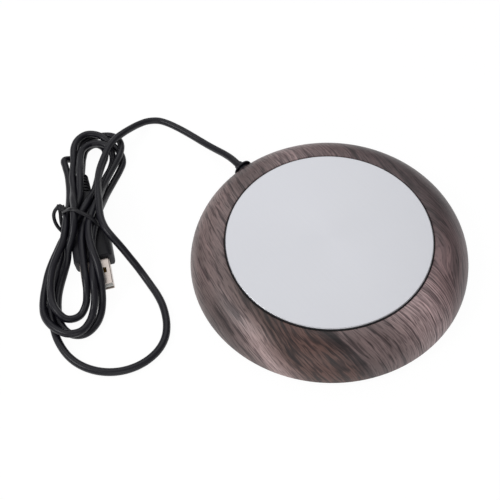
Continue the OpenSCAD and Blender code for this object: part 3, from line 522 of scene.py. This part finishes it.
GRIP_CORNER, SHELL_CORNER = 2.2, 0.6        # corners that the lead lies against, in millimetres
RELIEF_MARGIN, SHELL_MARGIN = 1, 0.6        # how far past the plug's ends the lead keeps clear of it
HELD, TUCKED = 3, 4                         # points held at the grommet and in the strain relief
BEND_POINTS = 5                             # points of one bend, which never touch each other
SEARCH_EVERY = 8                            # passes between searches for runs that may touch
LIMP_PASSES = 40                            # last passes, in which the lead bends more freely
HOME_SHARE = 0.1                            # share of its way home that a point goes in a pass
HOME_AXES = (1, 1, 0.05)                    # it goes home in plan and hardly in height
SINK = (0, 0, 0.001)                        # fall in a pass, in millimetres
YIELD = 0.9                                 # share of an overlap that is cleared in a pass


def spline(route, steps):
    """Cubic B-spline through a route with its ends held, as an array of points."""
    p = np.array(route, float)
    q = np.vstack([p[0], p[0], p, p[-1], p[-1]])
    t = (np.arange(steps) / steps)[:, None]
    runs = [((1 - t) ** 3 * a + (3 * t ** 3 - 6 * t * t + 4) * b
             + (-3 * t ** 3 + 3 * t * t + 3 * t + 1) * c + t ** 3 * d) / 6
            for a, b, c, d in zip(q, q[1:], q[2:], q[3:])]
    return np.vstack(runs + [p[-1:]])


def evenly(points, step):
    """The same path with points a step apart."""
    along = np.concatenate([[0], np.cumsum(np.linalg.norm(np.diff(points, axis=0), axis=1))])
    places = np.linspace(0, along[-1], round(along[-1] / step) + 1)
    return np.stack([np.interp(places, along, points[:, k]) for k in range(3)], axis=1)


def bending(count, stiffness):
    """Matrix that evens out short waves along a chain of points."""
    rows = np.arange(count - 2)
    second = np.zeros((count - 2, count))
    second[rows, rows], second[rows, rows + 1], second[rows, rows + 2] = 1, -2, 1
    return np.linalg.inv(np.eye(count) + stiffness * second.T @ second)


def clear_plug(points, plug, radius):
    """How far each point has to move for the lead to clear the plug, in millimetres."""
    axis, side, front = np.array(PLUG_AXIS), np.array(PLUG_SIDE), np.array(PLUG_FRONT) / MM
    grip_w, grip_h = plug.grip_width / MM / 2, plug.grip_height / MM / 2
    grip, neck, relief = plug.grip_length / MM, plug.neck_length / MM, plug.relief_length / MM
    root, tail = plug.relief_root / MM / 2, plug.relief_tail / MM / 2
    shell_w, shell_h = SHELL_HALF
    offset = points - front
    along, across, up = offset @ axis, offset @ side, offset[:, 2]
    behind = -along - grip
    # half width and half height of the plug beside each point, and how round its corners are there
    taper = root - (root - tail) * np.clip((behind - neck) / relief, 0, 1)
    half_w = np.select([along > 0, behind < 0, behind < neck],
                       [shell_w, grip_w, root + (grip_w - root) * np.clip(1 - behind / neck, 0, 1) ** 1.6],
                       taper)
    half_h = np.select([along > 0, behind < neck],
                       [shell_h, grip_h - (grip_h - root) * np.clip(behind / neck, 0, 1)], taper)
    corner = np.select([along > 0, behind < 0], [SHELL_CORNER, GRIP_CORNER],
                       np.minimum(half_w, half_h) * 0.98)
    out_w, out_h = np.abs(across) - (half_w - corner), np.abs(up) - (half_h - corner)
    gap = np.hypot(out_w.clip(0), out_h.clip(0)) + np.minimum(np.maximum(out_w, out_h), 0) - corner
    beside = (behind < neck + relief + RELIEF_MARGIN) & (along < SHELL_LENGTH / MM + SHELL_MARGIN)
    need = np.where(beside, radius - gap, 0).clip(0)
    outside = (out_w > 0) | (out_h > 0)
    push_w = np.where(outside, out_w.clip(0), out_w > out_h)
    push_h = np.where(outside, out_h.clip(0), out_h >= out_w)
    share = need / (np.hypot(push_w, push_h) + 1e-9)
    # the lead lies over the plug or beside it
    rise = np.where(up > -2, 1, -1)
    return (np.sign(across) * push_w * share)[:, None] * side + (rise * push_h * share)[:, None] * (0, 0, 1)


def settle(route, lead, plug):
    """Lets a route in millimetres come to rest on the surface, on the plug and on itself."""
    radius, step = lead.diameter / MM / 2, lead.step / MM
    start = evenly(spline(route, 6), step)
    count = len(start)
    even = bending(count, 1.0)
    smooth = even @ start
    smooth += even @ (start - smooth)
    smooth[:HELD], smooth[-TUCKED:] = start[:HELD], start[-TUCKED:]
    start, points = smooth, smooth.copy()
    # a run that sinks slides along this slope, so that the bundle keeps its shape from the front
    lean = (start - LEAN_FROM) / (LEAN_FROM[2] - start[:, 2])[:, None] * (1, 1, 0)
    stiff, limp = bending(count, 0.6), bending(count, 0.08)
    order = np.arange(count)
    for turn in range(lead.passes):
        if turn % SEARCH_EVERY == 0:
            gaps = np.linalg.norm(points[:, None] - points[None], axis=2)
            later = order[None] - order[:, None] >= BEND_POINTS
            one, two = np.where((gaps < 2 * radius + step) & later)
        aim = start + (start - points)[:, 2:] * lean
        tangent = np.gradient(points, axis=0)
        tangent /= np.linalg.norm(tangent, axis=1)[:, None]
        back = (aim - points) * HOME_AXES
        back -= (back * tangent).sum(1)[:, None] * tangent
        points = points + HOME_SHARE * back - SINK
        aim = start + (start - points)[:, 2:] * lean
        points = (stiff if turn < lead.passes - LIMP_PASSES else limp) @ (points - aim) + aim
        for _ in range(3):
            apart = points[one] - points[two]
            gap = np.linalg.norm(apart, axis=1) + 1e-9
            overlap = (2 * radius - gap).clip(0)
            push = apart / gap[:, None] * overlap[:, None] / 2
            moved, touches = np.zeros_like(points), np.zeros(count)
            np.add.at(moved, one, push)
            np.add.at(moved, two, -push)
            np.add.at(touches, one, overlap > 0)
            np.add.at(touches, two, overlap > 0)
            points += YIELD * moved / np.sqrt(np.maximum(touches, 1))[:, None]
            clear = clear_plug(points, plug, radius)
            clear[-TUCKED - 2:] = 0
            points += clear
            points[:, 2] = np.maximum(points[:, 2], radius)
        points[:HELD], points[-TUCKED:] = start[:HELD], start[-TUCKED:]
        for _ in range(2):
            edge = np.diff(points, axis=0)
            length = np.linalg.norm(edge, axis=1)[:, None]
            pull = (length - step) / length * edge / 4
            shift = np.zeros_like(points)
            shift[:-1] += pull
            shift[1:] -= pull
            shift[:HELD] = shift[-TUCKED:] = 0
            points += shift
    return points * MM


def curve_object(name, points, radius):
    """A round cord along points, as one smooth Bezier spline."""
    data = bpy.data.curves.new(name, "CURVE")
    data.dimensions = "3D"
    data.bevel_depth = radius
    data.bevel_resolution = 5
    data.resolution_u = 6
    data.use_fill_caps = True
    strand = data.splines.new("BEZIER")
    strand.bezier_points.add(len(points) - 1)
    last = len(points) - 1
    for i, knot in enumerate(strand.bezier_points):
        before, after = points[max(i - 1, 0)], points[min(i + 1, last)]
        run = (after - before) / np.linalg.norm(after - before)
        knot.co = points[i]
        knot.handle_left = points[i] - run * np.linalg.norm(points[i] - before) / 3
        knot.handle_right = points[i] + run * np.linalg.norm(after - points[i]) / 3
    piece = bpy.data.objects.new(name, data)
    bpy.context.scene.collection.objects.link(piece)
    return piece


def lead_path(settings):
    """The settled middle line of the lead, from the grommet into the strain relief."""
    lead, plug = settings.warmer_lead, settings.warmer_plug
    tail = plug.grip_length + plug.neck_length + plug.relief_length
    # one point behind the strain relief and two inside it, in millimetres from its tail
    into = [(PLUG_FRONT - PLUG_AXIS * (tail + d * MM)) / MM for d in (1.5, -2, -5.5)]
    route = list(FREE_ROUTE) + list(HANK_ROUTE) + [tuple(p) for p in into]
    route[0] = (0, EXIT_Y / MM, CORD_Z / MM)
    return settle(route, lead, plug)


class WARMER_OT_lay_lead(bpy.types.Operator):
    """Lays the lead from the grommet into its hank and on to the plug"""
    bl_idname = "warmer.lay_lead"
    bl_label = "Lay the lead"

    def execute(self, context):
        lead = context.scene.warmer_lead
        knots = evenly(lead_path(context.scene), 2 * lead.step)
        finish(curve_object("lead", knots, lead.diameter / 2), "cord_pvc", ["cord", "cord_hank"])
        return {"FINISHED"}


# ------------------------------------------------------------------ twist tie

# Where the tie crosses the bundle, and the run of its ends from the knot, in millimetres
TIE_MIDDLE = (-67.9, 75)
TIE_ANGLE = math.radians(-62)
TIE_KNOT = [(-70.5, 82, 11.5), (-70.5, 84, 11), (-71, 86.5, 10)]
TIE_ENDS = [
    [(-73, 87, 9), (-74.5, 86.5, 8), (-75.5, 85, 7), (-76, 83.5, 5.5), (-76, 82, 4), (-75.5, 80.5, 2.5)],
    [(-72, 85, 8), (-73, 84, 6.5), (-74, 82.5, 5), (-74.5, 81.5, 3.5), (-74.5, 80, 2.5)],
]
TIE_FACE = Vector((-0.35, -0.4, 0.85))      # the side that the ends turn up
# right half of its upper outline: thin PVC either side of the round wire, as shares of its size
TIE_HALF = [(0.5, 0.16), (0.42, 0.26), (0.27, 0.27), (0.18, 0.42), (0, 0.5)]
TIE_STEP = 0.7          # spacing of the sections along the band, in millimetres
TIE_ROUNDINGS = 8       # passes that round the band's corners
TIE_LIFT = 0.05         # of the band from the surface, in millimetres
TWIST_RADIUS = 0.75     # of the ends round each other, in millimetres
TWIST_TURNS = 2
END_STEP = 0.6          # spacing of the sections along an end, in millimetres
END_WIDTH = 0.85        # the ends are squeezed to this share of the width
NECK_SHARE = 0.4        # of the way from the strain relief's root to the grip, in width
NECK_TOP = 3            # of the neck above the plug's middle there, in millimetres
BUNDLE_HALF = 14        # farther from the tie's middle a run is none of the bundle's
LOOSE_LEFT = -103       # the loose run ends about where it first goes so far left, in millimetres


def lead_points():
    """Close points along the lead's middle line, in millimetres."""
    knots = bpy.data.objects["lead"].data.splines[0].bezier_points
    out = []
    for one, two in zip(knots, knots[1:]):
        out += interpolate_bezier(one.co, one.handle_right, two.handle_left, two.co, 5)[:-1]
    return np.array(out) / MM


def bundle_section(points, free_points, middle, run, radius):
    """Points round each run of the bundle where the upright plane of the tie cuts it."""
    across = np.array((-run[1], run[0]))
    side = (points[:, :2] - middle) @ across
    place = (points[:, :2] - middle) @ run
    spots = []
    for i in np.where(side[:-1] * side[1:] < 0)[0]:
        share = side[i] / (side[i] - side[i + 1])
        here = place[i] + (place[i + 1] - place[i]) * share
        height = points[i, 2] + (points[i + 1, 2] - points[i, 2]) * share
        if abs(here) < BUNDLE_HALF and i > free_points:
            spots.append((here, height))
    circle = [(math.cos(a), math.sin(a)) for a in np.linspace(0, 2 * math.pi, 24, endpoint=False)]
    return [(h + radius * c, z + radius * s) for h, z in spots for c, s in circle]


def sweep_strip(built, path, profile, closed=False, wide=None, face=None):
    """Sweeps a flat profile along a path, with its width along wide or its flat turned to face."""
    count = len(path)
    rings = []
    for i, here in enumerate(path):
        before = path[(i - 1) % count] if closed or i else here
        after = path[(i + 1) % count] if closed or i < count - 1 else here
        run = (Vector(after) - Vector(before)).normalized()
        broad = run.cross(face) if face else wide - run * run.dot(wide)
        broad.normalize()
        thick = run.cross(broad)
        rings.append([built.verts.new((Vector(here) + broad * u + thick * v) * MM) for u, v in profile])
    pairs = list(zip(rings, rings[1:])) + ([(rings[-1], rings[0])] if closed else [])
    n = len(profile)
    for a, b in pairs:
        for k in range(n):
            built.faces.new((a[k], a[(k + 1) % n], b[(k + 1) % n], b[k]))
    if not closed:
        built.faces.new(rings[0][::-1])
        built.faces.new(rings[-1])


def tie_profile(tie):
    """Outline of the tie's section in millimetres."""
    right = [(tie.width / MM * u, tie.wire / MM * v) for u, v in TIE_HALF]
    top = right + [(-u, v) for u, v in right[-2::-1]]
    return top + [(u, -v) for u, v in top[-2:0:-1]]


def band_loop(settings):
    """Middle line of the band, drawn tight round the runs and the plug's neck, in millimetres."""
    plug, half_thick = settings.warmer_plug, settings.warmer_tie.wire / MM / 2
    middle = np.array(TIE_MIDDLE)
    run = np.array((math.cos(TIE_ANGLE), math.sin(TIE_ANGLE)))
    points = lead_points()
    free = int(np.argmax(points[:, 0] < LOOSE_LEFT))
    spots = bundle_section(points, free, middle, run, settings.warmer_lead.diameter / MM / 2 + half_thick)
    front = PLUG_FRONT / MM
    neck = (front - PLUG_AXIS * (front - Vector((*TIE_MIDDLE, 0))).dot(PLUG_AXIS)).to_2d()
    at_neck = (np.array(neck) - middle) @ run
    half_neck = (plug.relief_root + (plug.grip_width - plug.relief_root) * NECK_SHARE) / MM / 2
    lowest = front.z - plug.grip_height / MM / 2
    spots += [(at_neck + side * half_neck, z) for side in (-1, 1) for z in (lowest, front.z + NECK_TOP)]
    outline = np.array([spots[i] for i in convex_hull_2d(spots)])
    closed = np.column_stack([np.vstack([outline, outline[:1]]), np.zeros(len(outline) + 1)])
    outline = evenly(closed, TIE_STEP)[:-1, :2]
    for _ in range(TIE_ROUNDINGS):
        outline = (np.roll(outline, 1, 0) + 2 * outline + np.roll(outline, -1, 0)) / 4
    outline[:, 1] = np.maximum(outline[:, 1], half_thick + TIE_LIFT)
    return [(*(middle + run * place), z) for place, z in outline]


def twisted_ends():
    """Middle lines of the two ends, twisted round each other and then bent back, in millimetres."""
    knot = spline(TIE_KNOT, 8)
    along = Vector(knot[-1] - knot[0]).normalized()
    one = along.orthogonal().normalized()
    two = along.cross(one)
    turns = [2 * math.pi * TWIST_TURNS * i / (len(knot) - 1) for i in range(len(knot))]
    paths = []
    for start, end in zip((0, math.pi), TIE_ENDS):
        twist = [Vector(here) + TWIST_RADIUS * (one * math.cos(start + a) + two * math.sin(start + a))
                 for here, a in zip(knot, turns)]
        paths.append(evenly(spline([tuple(p) for p in twist[::2]] + end, 4), END_STEP))
    return paths


class WARMER_OT_tie_bundle(bpy.types.Operator):
    """Binds the hank with a wire twist tie that has its ends twisted and bent back"""
    bl_idname = "warmer.tie_bundle"
    bl_label = "Tie the bundle"

    def execute(self, context):
        profile = tie_profile(context.scene.warmer_tie)
        ends_profile = [(u * END_WIDTH, v) for u, v in profile]
        built = bmesh.new()
        along_runs = Vector((-math.sin(TIE_ANGLE), math.cos(TIE_ANGLE), 0))
        sweep_strip(built, band_loop(context.scene), profile, closed=True, wide=along_runs)
        for path in twisted_ends():
            sweep_strip(built, path, ends_profile, face=TIE_FACE)
        finish(mesh_object("tie", built), "tie_pvc", ["twist_tie"])
        return {"FINISHED"}


# ------------------------------------------------------------------ stage

STAGE_MIDDLE = Vector((-0.02, 0.02, 0))     # the place that the lamps face, in metres
FLOOR_HALF = 6.0                            # half the floor's width, in metres
# place from the middle, width in metres and brightness of each lamp
LAMPS = {
    "top_lamp": ((0.33, 0.49, 0.92), 1.1, 0.95),
    "key_lamp": ((-0.7, 0.3, 0.7), 0.3, 10.0),
    "fill_lamp": ((-0.55, -0.65, 0.5), 0.7, 1.3),
}
GLOW, GLOW_SHARE = 1.03, 0.93               # of the floor where it is seen straight or mirrored
CAMERA_AIM = Vector((-26.85 * MM, 14.99 * MM, PLATE_TOP))


def softbox(name, offset, size, radiance):
    """A square lamp of even brightness that faces the middle of the stage."""
    data = bpy.data.lights.new(name, "AREA")
    data.shape = "SQUARE"
    data.size = size
    data.energy = radiance * math.pi * size * size
    lamp = bpy.data.objects.new(name, data)
    lamp.location = STAGE_MIDDLE + Vector(offset)
    lamp.rotation_euler = (STAGE_MIDDLE - lamp.location).to_track_quat("-Z", "Y").to_euler()
    bpy.context.scene.collection.objects.link(lamp)


def white_ground():
    """Matte white paper. Straight views of it are nearly full white and keep a soft shadow."""
    material, tree, shader = new_material("white_ground")
    tree.nodes.remove(shader)
    paper = add(tree, "BsdfDiffuse", {"Color": srgb("#f4f4f4")})
    glow = add(tree, "Emission", {"Color": (1, 1, 1, 1), "Strength": GLOW})
    seen = 0.0
    for ray in ("Is Glossy Ray", "Is Transmission Ray", "Is Camera Ray"):
        seen = add(tree, "Math", [add(tree, "LightPath", out=ray), seen], operation="MAXIMUM")
    share = add(tree, "Math", [seen, GLOW_SHARE], operation="MULTIPLY")
    mix = add(tree, "MixShader", [share, paper, glow])
    tree.links.new(mix, tree.nodes["Material Output"].inputs["Surface"])
    return material


def studio_sky(ambient):
    """A sky that is white to the camera and dim to everything else."""
    world = bpy.data.worlds.new("studio")
    world.use_nodes = True
    tree = world.node_tree
    seen = add(tree, "LightPath", out="Is Camera Ray")
    strength = add(tree, "MapRange", {"Value": seen, "To Min": ambient, "To Max": 1.0})
    fill(tree, tree.nodes["Background"], {"Color": (1, 1, 1, 1), "Strength": strength})
    return world


def stage_camera(stage):
    """A camera that looks down at its aim by the elevation, turned by the azimuth and the roll."""
    heading = math.pi / 2 - stage.azimuth
    forward = Vector((math.cos(stage.elevation) * math.cos(heading),
                      math.cos(stage.elevation) * math.sin(heading), -math.sin(stage.elevation)))
    right = forward.cross(Vector((0, 0, 1))).normalized()
    up = right.cross(forward)
    tilted_right = right * math.cos(stage.roll) + up * math.sin(stage.roll)
    tilted_up = -right * math.sin(stage.roll) + up * math.cos(stage.roll)
    data = bpy.data.cameras.new("camera")
    data.sensor_width = 36
    data.lens = stage.lens
    data.clip_start = 0.01
    camera = bpy.data.objects.new("camera", data)
    turn = Matrix((tilted_right, tilted_up, -forward)).transposed()
    camera.matrix_world = Matrix.Translation(CAMERA_AIM - forward * stage.distance) @ turn.to_4x4()
    bpy.context.scene.collection.objects.link(camera)
    return camera


class WARMER_OT_set_stage(bpy.types.Operator):
    """Sets up the floor, the lamps, the surrounding light and the camera"""
    bl_idname = "warmer.set_stage"
    bl_label = "Set the stage"

    def execute(self, context):
        built = bmesh.new()
        bmesh.ops.create_grid(built, x_segments=1, y_segments=1, size=FLOOR_HALF)
        floor = mesh_object("floor", built)
        floor.data.materials.append(white_ground())
        for name, lamp in LAMPS.items():
            softbox(name, *lamp)
        stage = context.scene.warmer_stage
        context.scene.world = studio_sky(stage.ambient)
        context.scene.camera = stage_camera(stage)
        context.scene.view_settings.view_transform = "Standard"
        return {"FINISHED"}


# ------------------------------------------------------------------ carried-over pieces

SLOTS = {row["node"]: row["material_slot"] for row in frame["record"]["subparts"]}


def dress_nodes(*names):
    """Gives carried-over pieces the materials of their slots."""
    for name in names:
        dress(NODES[name], SLOTS[name])
    return {"FINISHED"}


class WARMER_OT_mix_materials(bpy.types.Operator):
    """Builds the material of every slot"""
    bl_idname = "warmer.mix_materials"
    bl_label = "Mix the materials"

    def execute(self, context):
        wood_print()
        brushed_aluminium()
        jacket = (*context.scene.warmer_lead.colour, 1)
        for slot, (code, light, *recipe) in RECIPES.items():
            moulded(slot, srgb(code) if code else jacket, srgb(light), *recipe)
        return {"FINISHED"}


class WARMER_OT_dress_ring(bpy.types.Operator):
    """Prints the wood grain on the housing ring"""
    bl_idname = "warmer.dress_ring"
    bl_label = "Dress the ring"

    def execute(self, context):
        return dress_nodes("housing_ring")


class WARMER_OT_dress_plate(bpy.types.Operator):
    """Finishes the warming plate and the seal under its edge"""
    bl_idname = "warmer.dress_plate"
    bl_label = "Dress the plate"

    def execute(self, context):
        return dress_nodes("heating_plate", "plate_seal")


class WARMER_OT_dress_heater(bpy.types.Operator):
    """Finishes the heater's stack under the plate and what clamps it"""
    bl_idname = "warmer.dress_heater"
    bl_label = "Dress the heater"

    def execute(self, context):
        return dress_nodes("heater_film", "heater_track", "mica_disc", "insulation_pad", "clamp_disc",
                           "weld_studs", "stud_nuts")


class WARMER_OT_dress_wiring(bpy.types.Operator):
    """Finishes the thermostat, the fuse, their leads and the cord's clamp"""
    bl_idname = "warmer.dress_wiring"
    bl_label = "Dress the wiring"

    def execute(self, context):
        return dress_nodes("thermostat", "thermal_fuse", "fuse_strap", "lead_live", "lead_fuse",
                           "lead_link", "lead_neutral", "cord_inner", "cord_clamp", "clamp_screws")


class WARMER_OT_dress_base(bpy.types.Operator):
    """Finishes the base cover, its screws and its feet"""
    bl_idname = "warmer.dress_base"
    bl_label = "Dress the base"

    def execute(self, context):
        return dress_nodes("base_cover", "base_screws", "foot_1", "foot_2", "foot_3", "foot_4")


class WARMER_OT_dress_grommet(bpy.types.Operator):
    """Finishes the grommet and the plain solids that the lead and the tie stand for"""
    bl_idname = "warmer.dress_grommet"
    bl_label = "Dress the grommet"

    def execute(self, context):
        return dress_nodes("cord_grommet", "cord", "cord_hank", "twist_tie")


class WARMER_OT_dress_plug(bpy.types.Operator):
    """Finishes the plug's overmould, shell, tongue and contacts"""
    bl_idname = "warmer.dress_plug"
    bl_label = "Dress the plug"

    def execute(self, context):
        return dress_nodes("plug_grip", "plug_shell", "plug_insulator", "plug_contacts")


class WARMER_OT_declare_lead(bpy.types.Operator):
    bl_idname = "warmer.declare_lead"
    bl_label = "Declare the lead"

    def execute(self, context):
        on_lead = [NODES[name] for name in ("cord_grommet", "cord_inner", "plug_grip", "plug_shell",
                                            "plug_insulator", "plug_contacts")]
        on_lead.append(bpy.data.objects["tie"])
        return {"FINISHED"}


class WARMER_PT_panel(bpy.types.Panel):
    """Sizes and steps of the mug warmer's dressing"""
    bl_label = "Mug Warmer"
    bl_idname = "WARMER_PT_panel"
    bl_space_type = "VIEW_3D"
    bl_region_type = "UI"
    bl_category = "Mug Warmer"

    def draw(self, context):
        scene = context.scene
        for group in SETTINGS:
            box = self.layout.box()
            for name in SETTINGS[group].__annotations__:
                box.prop(getattr(scene, group), name)
        for operator in OPERATORS:
            self.layout.operator(operator.bl_idname)


SETTINGS = {
    "warmer_lead": WarmerLeadSettings,
    "warmer_plug": WarmerPlugSettings,
    "warmer_tie": WarmerTieSettings,
    "warmer_stage": WarmerStageSettings,
}
OPERATORS = [
    WARMER_OT_mix_materials,
    WARMER_OT_dress_ring,
    WARMER_OT_dress_plate,
    WARMER_OT_dress_heater,
    WARMER_OT_dress_wiring,
    WARMER_OT_dress_base,
    WARMER_OT_dress_grommet,
    WARMER_OT_dress_plug,
    WARMER_OT_lay_lead,
    WARMER_OT_tie_bundle,
    WARMER_OT_declare_lead,
    WARMER_OT_set_stage,
]


def register():
    """Adds the settings, the operators and the panel."""
    for group, settings in SETTINGS.items():
        bpy.utils.register_class(settings)
        setattr(bpy.types.Scene, group, PointerProperty(type=settings))
    for operator in OPERATORS:
        bpy.utils.register_class(operator)
    bpy.utils.register_class(WARMER_PT_panel)


def unregister():
    """Takes them out again."""
    bpy.utils.unregister_class(WARMER_PT_panel)
    for operator in reversed(OPERATORS):
        bpy.utils.unregister_class(operator)
    for group, settings in SETTINGS.items():
        delattr(bpy.types.Scene, group)
        bpy.utils.unregister_class(settings)


def main():
    """Dresses the warmer step by step."""
    register()
    for operator in OPERATORS:
        group, name = operator.bl_idname.split(".")
        getattr(getattr(bpy.ops, group), name)()


if __name__ == "__main__":
    main()
